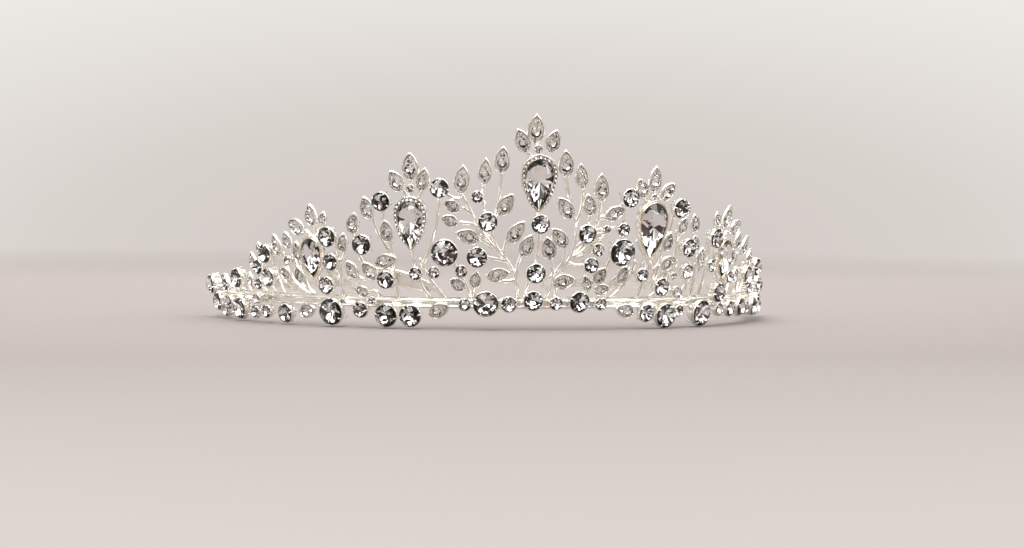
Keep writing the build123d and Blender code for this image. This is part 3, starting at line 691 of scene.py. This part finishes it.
def collet(shape, cup):
    """Turned cup with a foot, a waist and a rolled lip, bright outside, with painted shade on the
    inside.
    """
    outer = cup.radius
    height = cup.height
    profile = (
        (0.0, 0.0),
        (outer * 0.66, 0.0),
        (outer * 0.72, height * 0.06),
        (outer * 0.72, height * 0.16),
        (outer * 0.80, height * 0.30),
        (outer * 0.94, height * 0.55),
        (outer * 0.985, height * 0.70),
        (outer, height * 0.82),
        (outer * 0.99, height * 0.93),
        (outer - CUP_WALL * 0.35, height),
        (outer - CUP_WALL * 0.75, height * 0.99),
        (outer - CUP_WALL, height * 0.90),
        (outer - CUP_WALL * 1.1, height * 0.60),
        (outer * 0.4, height * 0.18),
        (0.0, height * 0.16),
    )
    # The four inner strips take painted shade inside the cup
    slots = [0] * 10 + [1] * 4
    shape.add_rings(turned_rings(profile), cup.frame, slots)


def claws(shape, cup):
    """Claws round one cup: four, or three on a small one."""
    count = 4 if cup.radius > FOUR_CLAW_RADIUS else 3
    top = cup.height + cup.radius * ROUND_GIRDLE
    rings = claw(cup.radius - CUP_WALL * 0.9, top, CLAW_WIDTH, cup.radius * 0.16)
    for i in range(count):
        turn = 2 * math.pi * (i + 0.5) / count + steady_at(cup, CUP_SEED)
        where = cup.frame @ Matrix.Rotation(turn, 4, "Z")
        shape.add_rings(rings, where, 0, cap_first=True, cap_last=True)


def stone_cups(section):
    """Cups of one section with their claws."""
    shape = Shape()
    for points in islands(f"{section}_stone_cups"):
        cup = Disc(points)
        collet(shape, cup)
        claws(shape, cup)
    piece = shape.build(f"{section}_claw_cups", [SILVER_RIM, SILVER_PAINTED_SHADE])
    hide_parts(f"{section}_stone_cups")
    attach(piece, "root")


def round_crystals(section):
    """Round brilliants of one section, each with its girdle just above the lip of its cup."""
    shape = Shape()
    cups = [Disc(points) for points in islands(f"{section}_stone_cups")]
    for points in islands(f"{section}_round_crystals"):
        stone = Disc(points)
        cup = min(cups, key=lambda other: math.hypot(other.u - stone.u, other.v - stone.v))
        seat = cup.low + cup.height - stone.low
        add_round_stone(
            shape,
            stone,
            seat,
            stone.radius * ROUND_CROWN,
            min(seat, stone.radius * PAVILION_SLOPE),
            steady_at(stone, ROUND_SEED) * math.pi,
            ROUND_DARK_SHARE,
            ROUND_GIRDLE,
        )
    piece = shape.build(f"{section}_brilliants", STONE_MATERIALS)
    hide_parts(f"{section}_round_crystals")
    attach(piece, "root")


def leaf_dish(shape, leaf):
    """Leaf with a rolled rim, a sunk floor with a vein down its middle, and a flat back; the inner
    wall down to the floor carries painted shade.
    """
    width = leaf.width
    length = leaf.length
    belly = length * 0.4
    high = leaf.high - leaf.low
    floor_height = high * 0.42
    rim = LEAF_RIM

    def ring(inset, z):
        return ring_at(inset_drop(width, length, belly, inset), z)

    rings = [
        ring(rim * 0.9, 0.0),
        ring(rim * 0.25, high * 0.06),
        ring(0.0, high * 0.30),
        ring(0.0, high * 0.62),
        ring(rim * 0.14, high * 0.86),
        ring(rim * 0.42, high * 0.98),
        ring(rim * 0.68, high * 0.93),
        ring(rim * 0.90, high * 0.74),
        ring(rim, floor_height),
        ring(rim * 1.45, floor_height * 0.92),
    ]
    # The two strips down the inner wall take painted shade
    slots = [0] * 7 + [1] * 2
    shape.add_rings(rings, leaf.frame, slots)
    inner = rings[-1]
    outer_back = rings[0]
    spine = [(0.0, y, floor_height * 1.08) for _, y, _ in inner]
    shape.add_rings([inner, spine], leaf.frame, 2)
    back = [(0.0, y, 0.0) for _, y, _ in outer_back]
    shape.add_rings([back, outer_back], leaf.frame, 0)
    leaf_beads(shape, leaf, belly)


def leaf_beads(shape, leaf, belly):
    """Row of fine beads inside a leaf's rim, left out where a stone lies."""
    bead, faces = ball(BEAD_RADIUS)
    height = (leaf.high - leaf.low) * 0.62
    inverse = leaf.frame.inverted()
    stones = []
    for stone in LEAF_STONES:
        middle = inverse @ stone.frame.translation
        if abs(middle.x) < leaf.width / 2 and 0 < middle.y < leaf.length and abs(middle.z) < 2 * MM:
            stones.append((middle.x, middle.y, stone.radius))
    row = inset_drop(leaf.width, leaf.length, belly, LEAF_RIM + BEAD_RADIUS * 0.7, LEAF_ROW_STEPS)
    walked = leaf.length
    for i in range(len(row)):
        x0, y0 = row[i - 1]
        x1, y1 = row[i]
        walked += math.hypot(x1 - x0, y1 - y0)
        clear = all(
            math.hypot(x1 - x, y1 - y) > radius + BEAD_RADIUS * 0.6 for x, y, radius in stones
        )
        if walked > BEAD_RADIUS * 2.3 and clear:
            shape.add(bead, faces, leaf.frame @ Matrix.Translation((x1, y1, height)))
            walked = 0.0


def leaf_settings(section):
    """Leaves of one section, each with its row of beads."""
    shape = Shape()
    for points in islands(f"{section}_leaf_settings"):
        leaf_dish(shape, Leaf(points))
    piece = shape.build(f"{section}_leaf_dishes", [SILVER_RIM, SILVER_PAINTED_SHADE, SILVER_FLOOR])
    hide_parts(f"{section}_leaf_settings")
    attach(piece, "root")


def leaf_stones(side):
    """Small brilliants in the leaves, each gripped by three or four beads of metal."""
    stones = Shape()
    beads = Shape()
    bead, faces = ball(BEAD_RADIUS)
    for points in islands(f"{side}_leaf_stones"):
        stone = Disc(points)
        turn = steady_at(stone, LEAF_STONE_SEED) * math.pi
        seat = stone.height * SMALL_SEAT_OF_HEIGHT
        add_round_stone(
            stones,
            stone,
            seat,
            max(stone.height * SMALL_CROWN_OF_HEIGHT, stone.radius * SMALL_CROWN),
            min(seat + LEAF_SETTING_DEPTH, stone.radius * PAVILION_SLOPE),
            turn,
            SMALL_DARK_SHARE,
        )
        bead_count = 4 if stone.radius > FOUR_BEAD_RADIUS else 3
        reach = stone.radius + BEAD_RADIUS * 0.15
        for i in range(bead_count):
            angle = turn + 2 * math.pi * i / bead_count
            where = stone.frame @ Matrix.Translation(
                (reach * math.cos(angle), reach * math.sin(angle), seat + BEAD_RADIUS * 0.7)
            )
            beads.add(bead, faces, where)
    piece = stones.build(f"{side}_leaf_brilliants", STONE_MATERIALS)
    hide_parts(f"{side}_leaf_stones")
    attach(piece, "root")
    grip = beads.build(f"{side}_leaf_grip_beads", [SILVER_RIM])
    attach(grip, "root")


def pear_motif(name):
    """One pear motif: its setting with small stones or beads round it, and its crystal."""
    bezel = Leaf(islands(f"{name}_pear_bezel")[0])
    crystal = Leaf(islands(f"{name}_pear_crystal")[0])
    stones = halo_of(bezel)
    wall = HALO_WALL if stones else (bezel.width - crystal.width) / 4
    shape = Shape()
    pear_setting(shape, bezel, crystal, wall)
    if stones:
        halo_beads(shape, stones)
    else:
        rim_beads(shape, bezel)
    piece = shape.build(f"{name}_pear_setting", [SILVER_RIM, SILVER_PAINTED_SHADE, SILVER_PAINTED_WARM_SHADE])
    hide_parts(f"{name}_pear_bezel")
    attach(piece, "root")
    pear_stone(name, crystal)


def pear_setting(shape, bezel, crystal, wall):
    """Bezel with a rolled rim, and a tan collar in painted warm shade, of a given wall round its
    crystal.
    """
    high = bezel.high - bezel.low
    crystal_y = (crystal.frame.translation - bezel.frame.translation).dot(bezel.frame.col[1].xyz)

    def pear_outline(leaf, belly_share, inset):
        belly = leaf.width * belly_share
        steps = PEAR_SETTING_STEPS
        return inset_drop(leaf.width, leaf.length, belly, inset, steps, PEAR_TIP_FACTOR)

    def rim(inset, z):
        return ring_at(pear_outline(bezel, BEZEL_BELLY, inset), z)

    def collar(reach, z):
        outline = pear_outline(crystal, PEAR_BELLY, -reach * wall)
        return ring_at([(x, y + crystal_y) for x, y in outline], z)

    rings = [
        rim(0.5 * MM, 0.0),
        rim(0.15 * MM, high * 0.05),
        rim(0.0, high * 0.18),
        rim(0.0, high * 0.86),
        rim(0.06 * MM, high * 0.98),
        rim(0.16 * MM, high),
        rim(0.24 * MM, high * 0.94),
        rim(0.28 * MM, high * 0.82),
        collar(1.0, high * 0.82),
        collar(0.86, high * 1.05),
        collar(0.52, high * 1.16),
        collar(0.05, high * 1.12),
        collar(-0.14, high * 1.0),
        collar(-0.05, high * 0.3),
    ]
    # Painted shade on the strip between rim and collar and down the inside of the collar
    # Painted warm shade on the four strips of the collar
    slots = [0] * 7 + [1] + [2] * 4 + [1]
    shape.add_rings(rings, bezel.frame, slots, cap_first=True, cap_last=True)


def halo_of(bezel):
    """The small stones that lie on one bezel."""
    stones = [Disc(points) for points in islands("pear_halo_stones")]
    inverse = bezel.frame.inverted()
    result = []
    for stone in stones:
        middle = inverse @ stone.frame.translation
        if abs(middle.x) < bezel.width / 2 and 0 < middle.y < bezel.length:
            result.append(stone)
    return result


def halo_beads(shape, stones):
    """Two beads between each small stone of a halo and the next."""
    bead, faces = ball(FINE_BEAD_RADIUS)
    for stone in stones:
        here = stone.frame.translation
        near = sorted(stones, key=lambda other: (other.frame.translation - here).length)
        for other in near[1:3]:
            there = other.frame.translation
            if (other.u, other.v) < (stone.u, stone.v) or (there - here).length > HALO_STEP_LIMIT:
                continue
            outward = stone.frame.col[2].xyz
            side = (there - here).normalized().cross(outward)
            for way in (-1, 1):
                spot = (here + there) / 2 + side * way * HALO_BEAD_SIDE + outward * HALO_BEAD_RISE
                shape.add(bead, faces, Matrix.Translation(spot))


def rim_beads(shape, bezel):
    """Row of fine beads between the rim and the collar of a bezel without small stones."""
    bead, faces = ball(FINE_BEAD_RADIUS)
    height = (bezel.high - bezel.low) * 0.92
    belly = bezel.width * BEZEL_BELLY
    steps = RIM_ROW_STEPS
    row = inset_drop(bezel.width, bezel.length, belly, RIM_ROW_INSET, steps, PEAR_TIP_FACTOR)
    walked = FINE_BEAD_RADIUS
    for i in range(len(row)):
        x0, y0 = row[i - 1]
        x1, y1 = row[i]
        walked += math.hypot(x1 - x0, y1 - y0)
        if walked > FINE_BEAD_RADIUS * 2.5:
            shape.add(bead, faces, bezel.frame @ Matrix.Translation((x1, y1, height)))
            walked = 0.0


def even_points(outline, count):
    """Points at even steps of length round a closed outline."""
    total = len(outline)
    lengths = [0.0]
    for i in range(total):
        x0, y0 = outline[i]
        x1, y1 = outline[(i + 1) % total]
        lengths.append(lengths[-1] + math.hypot(x1 - x0, y1 - y0))
    result = []
    for j in range(count):
        target = lengths[-1] * j / count
        i = max(k for k in range(total) if lengths[k] <= target + 1e-12)
        share = (target - lengths[i]) / (lengths[i + 1] - lengths[i])
        x0, y0 = outline[i]
        x1, y1 = outline[(i + 1) % total]
        result.append((x0 + (x1 - x0) * share, y0 + (y1 - y0) * share))
    return result


def pear_stone(name, crystal):
    """Pear-cut crystal: the outline of a drop with the facets of a brilliant."""
    belly = crystal.width * PEAR_BELLY
    drop = drop_outline(crystal.width, crystal.length, belly, 0.0, PEAR_STONE_STEPS)
    outline = even_points(drop, STONE_CORNERS)
    seat = crystal.high - crystal.low - PEAR_CROWN - PEAR_GIRDLE
    shape = Shape()
    add_stone(
        shape,
        outline,
        (0.0, crystal.length * PEAR_CENTRE_SHARE),
        crystal.frame @ Matrix.Translation((0, 0, seat)),
        PEAR_TABLE,
        PEAR_GIRDLE,
        PEAR_CROWN,
        seat * PEAR_DEPTH_SHARE,
        PEAR_DARK_SHARE,
    )
    piece = shape.build(f"{name}_pear_brilliant", STONE_MATERIALS)
    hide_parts(f"{name}_pear_crystal")
    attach(piece, "root")


def halo_brilliants():
    """Small stones round the pear crystals."""
    shape = Shape()
    for points in islands("pear_halo_stones"):
        stone = Disc(points)
        turn = steady_at(stone, HALO_SEED) * math.pi
        seat = stone.height * HALO_SEAT_OF_HEIGHT
        add_round_stone(
            shape,
            stone,
            seat,
            stone.height * HALO_CROWN_OF_HEIGHT,
            seat * HALO_DEPTH_OF_SEAT,
            turn,
            SMALL_DARK_SHARE,
        )
    piece = shape.build("pear_halo_brilliants", STONE_MATERIALS)
    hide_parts("pear_halo_stones")
    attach(piece, "root")


def half_width_at(width, length, belly, y):
    """Half the width of a drop at a distance from its base."""
    rise = belly if y < belly else length - belly
    half_width = width / 2
    radius = (half_width**2 + rise**2) / (2 * half_width)
    offset = abs(y - belly)
    return max(half_width - radius + math.sqrt(max(radius**2 - offset**2, 0)), 1e-6)


def blade_height(thick, across, along):
    """Height of a blade's top; across runs from -1 to 1 and is 0 at the vein, along from 0 to 1."""
    if across == 0:
        return thick
    arch = thick * (0.62 + 0.28 * (1 - across * across))
    groove = 0.5 + 0.5 * math.cos((abs(across) * 2.2 + along * 9) * 2 * math.pi)
    return arch - thick * 0.2 * groove * (1 - abs(across))


def blade(shape, leaf, rows=30, columns=10):
    """Leaf blade, gently arched, with a middle vein and slanting grooves."""
    thick = leaf.high - leaf.low
    top = []
    for row in range(rows + 1):
        along = row / rows
        y = leaf.length * along
        half = half_width_at(leaf.width, leaf.length, leaf.length * 0.5, y)
        for column in range(columns + 1):
            across = 2 * column / columns - 1
            top.append((half * across, y, blade_height(thick, across, along)))
    bottom = [(x, y, (z - thick * 0.6) * 0.4) for x, y, z in top]
    lower = len(top)
    step = columns + 1
    cells = [row * step + column for row in range(rows) for column in range(columns)]
    faces = [(a, a + 1, a + step + 1, a + step) for a in cells]
    faces += [(lower + a, lower + a + step, lower + a + step + 1, lower + a + 1) for a in cells]
    sides = [row * step + column for row in range(rows) for column in (0, columns)]
    faces += [(a, a + step, lower + a + step, lower + a) for a in sides]
    tips = [row * step + column for row in (0, rows) for column in range(columns)]
    faces += [(a, a + 1, lower + a + 1, lower + a) for a in tips]
    shape.add(top + bottom, faces, leaf.frame)


def ribbed_leaves(side):
    """Plain leaves without stones."""
    shape = Shape()
    for points in islands(f"{side}_ribbed_leaves"):
        blade(shape, Leaf(points))
    piece = shape.build(f"{side}_veined_leaves", [SILVER_STEM])
    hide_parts(f"{side}_ribbed_leaves")
    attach(piece, "root")


def coat(node, material):
    """Gives a CAD node that is kept as it is its material."""
    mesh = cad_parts[node].data
    mesh.materials.clear()
    mesh.materials.append(material)


for section_name in SECTIONS:
    stone_cups(section_name)
    round_crystals(section_name)
    leaf_settings(section_name)
for side_name in LEAF_STONE_SIDES:
    leaf_stones(side_name)
for pear_name in PEARS:
    pear_motif(pear_name)
halo_brilliants()
for side_name in RIBBED_LEAF_SIDES:
    ribbed_leaves(side_name)
for band_node in ("base_band", "left_end_loop", "right_end_loop"):
    coat(band_node, SILVER_BAND)
for wire_node in ("lower_decor_wire", "upper_decor_wire"):
    coat(wire_node, SILVER_STEM)
for section_name in SECTIONS:
    coat(f"{section_name}_stems", SILVER_STEM)


# ---------------------------------------------------------------- stage, light and camera

def floor():
    """Round sheet of pale paper that fades out into the backdrop."""
    mesh = bpy.data.meshes.new("floor")
    points = [(x, y, 0.0) for radius in FLOOR_RADII for x, y in circle(radius, FLOOR_SIDES)]
    faces = []
    for inner in range(0, (len(FLOOR_RADII) - 1) * FLOOR_SIDES, FLOOR_SIDES):
        outer = inner + FLOOR_SIDES
        for i in range(FLOOR_SIDES):
            j = (i + 1) % FLOOR_SIDES
            faces.append((inner + i, inner + j, outer + j, outer + i))
    faces.append(tuple(reversed(range(FLOOR_SIDES))))
    mesh.from_pydata(points, [], faces)
    mesh.materials.append(floor_paper())
    piece = bpy.data.objects.new("floor", mesh)
    bpy.context.scene.collection.objects.link(piece)


def floor_paper():
    """Matt paper with painted shading that changes with depth; it turns clear far from the tiara."""
    material, nodes, links, shader = node_material("floor_paper")
    shader.inputs["Roughness"].default_value = 1.0
    shader.inputs["Specular IOR Level"].default_value = 0.0
    coordinates = nodes.new("ShaderNodeTexCoord")
    apart = nodes.new("ShaderNodeSeparateXYZ")
    links.new(coordinates.outputs["Object"], apart.inputs["Vector"])
    depth = nodes.new("ShaderNodeMath")
    depth.operation = "ADD"
    depth.inputs[1].default_value = FLOOR_HALF_DEPTH
    links.new(apart.outputs["Y"], depth.inputs[0])
    # Painted shading: darkest just in front of the tiara, lighter toward the front and far behind
    stops = (
        (FLOOR_HALF_DEPTH + FLOOR_FRONT_Y, FLOOR_FRONT),
        (FLOOR_HALF_DEPTH + FLOOR_NEAR_Y, FLOOR_NEAR),
        (FLOOR_HALF_DEPTH + FLOOR_FAR_Y, FLOOR_FAR),
    )
    paper = colour_ramp(nodes, links, depth.outputs["Value"], stops)
    links.new(paper, shader.inputs["Base Color"])
    distance = nodes.new("ShaderNodeVectorMath")
    distance.operation = "LENGTH"
    links.new(coordinates.outputs["Object"], distance.inputs[0])
    fade = nodes.new("ShaderNodeMapRange")
    fade.interpolation_type = "SMOOTHSTEP"
    fade.inputs["From Min"].default_value = FLOOR_FADE[0]
    fade.inputs["From Max"].default_value = FLOOR_FADE[1]
    links.new(distance.outputs["Value"], fade.inputs["Value"])
    clear = nodes.new("ShaderNodeBsdfTransparent")
    mix = nodes.new("ShaderNodeMixShader")
    links.new(fade.outputs["Result"], mix.inputs["Fac"])
    links.new(shader.outputs["BSDF"], mix.inputs[1])
    links.new(clear.outputs["BSDF"], mix.inputs[2])
    links.new(mix.outputs["Shader"], nodes["Material Output"].inputs["Surface"])
    return material


def studio():
    """Pale surroundings; what the metal and the crystals mirror has darker patches between lights."""
    world = bpy.data.worlds.new("studio")
    bpy.context.scene.world = world
    world.use_nodes = True
    nodes = world.node_tree.nodes
    links = world.node_tree.links
    coordinates = nodes.new("ShaderNodeTexCoord")
    backdrop = nodes["Background"]
    backdrop.inputs["Strength"].default_value = 1.0
    spread = backdrop_spread(nodes, links, coordinates)
    stops = (
        (0.0, BACKDROP_LOW),
        (BACKDROP_REACH / 2, BACKDROP_MIDDLE),
        (BACKDROP_REACH, BACKDROP_HIGH),
    )
    links.new(colour_ramp(nodes, links, spread, stops), backdrop.inputs["Color"])
    in_metal = studio_patches(nodes, links, coordinates, METAL_PATCH_SCALE, METAL_TONES)
    in_crystal = studio_patches(nodes, links, coordinates, CRYSTAL_PATCH_SCALE, CRYSTAL_TONES)
    path = nodes.new("ShaderNodeLightPath")
    joined = nodes.new("ShaderNodeMix")
    joined.data_type = "RGBA"
    links.new(path.outputs["Is Transmission Ray"], joined.inputs["Factor"])
    links.new(in_metal, joined.inputs["A"])
    links.new(in_crystal, joined.inputs["B"])
    mirrored = nodes.new("ShaderNodeBackground")
    mirrored.inputs["Strength"].default_value = 1.0
    links.new(joined.outputs["Result"], mirrored.inputs["Color"])
    mix = nodes.new("ShaderNodeMixShader")
    links.new(path.outputs["Is Camera Ray"], mix.inputs["Fac"])
    links.new(mirrored.outputs["Background"], mix.inputs[1])
    links.new(backdrop.outputs["Background"], mix.inputs[2])
    links.new(mix.outputs["Shader"], nodes["World Output"].inputs["Surface"])


def studio_patches(nodes, links, coordinates, scale, tones):
    """Bright surroundings with dark patches, and a dark side in front of the tiara."""
    patches = nodes.new("ShaderNodeTexNoise")
    patches.inputs["Scale"].default_value = scale
    patches.inputs["Detail"].default_value = 1.0
    links.new(coordinates.outputs["Generated"], patches.inputs["Vector"])
    front = direction_distance(nodes, links, coordinates, DARK_SIDE)
    dark_stops = ((DARK_SIDE_REACH[0], DARK_SIDE_TONE), (DARK_SIDE_REACH[1], WHITE))
    darkened = nodes.new("ShaderNodeMix")
    darkened.data_type = "RGBA"
    darkened.blend_type = "MULTIPLY"
    darkened.inputs["Factor"].default_value = 1.0
    links.new(colour_ramp(nodes, links, patches.outputs["Fac"], tones), darkened.inputs["A"])
    links.new(colour_ramp(nodes, links, front, dark_stops), darkened.inputs["B"])
    return darkened.outputs["Result"]


def backdrop_spread(nodes, links, coordinates):
    """Distance of a direction of view from the foot of the backdrop, counted more up than across."""
    offset = nodes.new("ShaderNodeVectorMath")
    offset.operation = "SUBTRACT"
    offset.inputs[1].default_value = Vector(BACKDROP_FOOT).normalized()
    links.new(coordinates.outputs["Generated"], offset.inputs[0])
    stretch = nodes.new("ShaderNodeVectorMath")
    stretch.operation = "MULTIPLY"
    stretch.inputs[1].default_value = (1.0, 1.0, BACKDROP_RISE)
    links.new(offset.outputs["Vector"], stretch.inputs[0])
    length = nodes.new("ShaderNodeVectorMath")
    length.operation = "LENGTH"
    links.new(stretch.outputs["Vector"], length.inputs[0])
    return length.outputs["Value"]


def direction_distance(nodes, links, coordinates, direction):
    """How far a direction of view lies from a given one, 0 where they agree."""
    offset = nodes.new("ShaderNodeVectorMath")
    offset.operation = "DISTANCE"
    offset.inputs[1].default_value = Vector(direction).normalized()
    links.new(coordinates.outputs["Generated"], offset.inputs[0])
    return offset.outputs["Value"]


def softbox(name, azimuth, elevation, distance, size, power, colour):
    """Rectangular soft light that faces the tiara."""
    light = bpy.data.lights.new(name, "AREA")
    light.shape = "RECTANGLE"
    light.size = size[0]
    light.size_y = size[1]
    light.energy = power
    light.color = colour
    lamp = bpy.data.objects.new(name, light)
    bpy.context.scene.collection.objects.link(lamp)
    a = math.radians(azimuth)
    e = math.radians(elevation)
    target = Vector((ARC_CENTRE_X, ARC_CENTRE_Y, LIGHT_TARGET_HEIGHT))
    direction = Vector((math.sin(a) * math.cos(e), -math.cos(a) * math.cos(e), math.sin(e)))
    lamp.location = target + direction * distance
    lamp.rotation_euler = direction.to_track_quat("Z", "Y").to_euler()


def camera():
    """Camera that looks at the centre of the arc."""
    view = bpy.data.cameras.new("camera")
    view.lens = CAMERA_LENS
    view.sensor_width = CAMERA_SENSOR
    view.shift_x, view.shift_y = CAMERA_SHIFT
    view.clip_start = 0.01
    view.clip_end = 50
    stand = bpy.data.objects.new("camera", view)
    bpy.context.scene.collection.objects.link(stand)
    target = Vector((ARC_CENTRE_X, ARC_CENTRE_Y, BASE_Z))
    direction = Vector(
        (
            -math.sin(CAMERA_AZIMUTH) * math.cos(CAMERA_ELEVATION),
            -math.cos(CAMERA_AZIMUTH) * math.cos(CAMERA_ELEVATION),
            math.sin(CAMERA_ELEVATION),
        )
    )
    turned = direction.to_track_quat("Z", "Y").to_matrix().to_4x4()
    turned = turned @ Matrix.Rotation(CAMERA_ROLL, 4, "Z")
    turned.translation = target + direction * CAMERA_DISTANCE
    stand.matrix_world = turned
    bpy.context.scene.camera = stand


floor()
studio()
for light_values in LIGHTS:
    softbox(*light_values)
camera()

bpy.context.scene.view_settings.view_transform = "Standard"
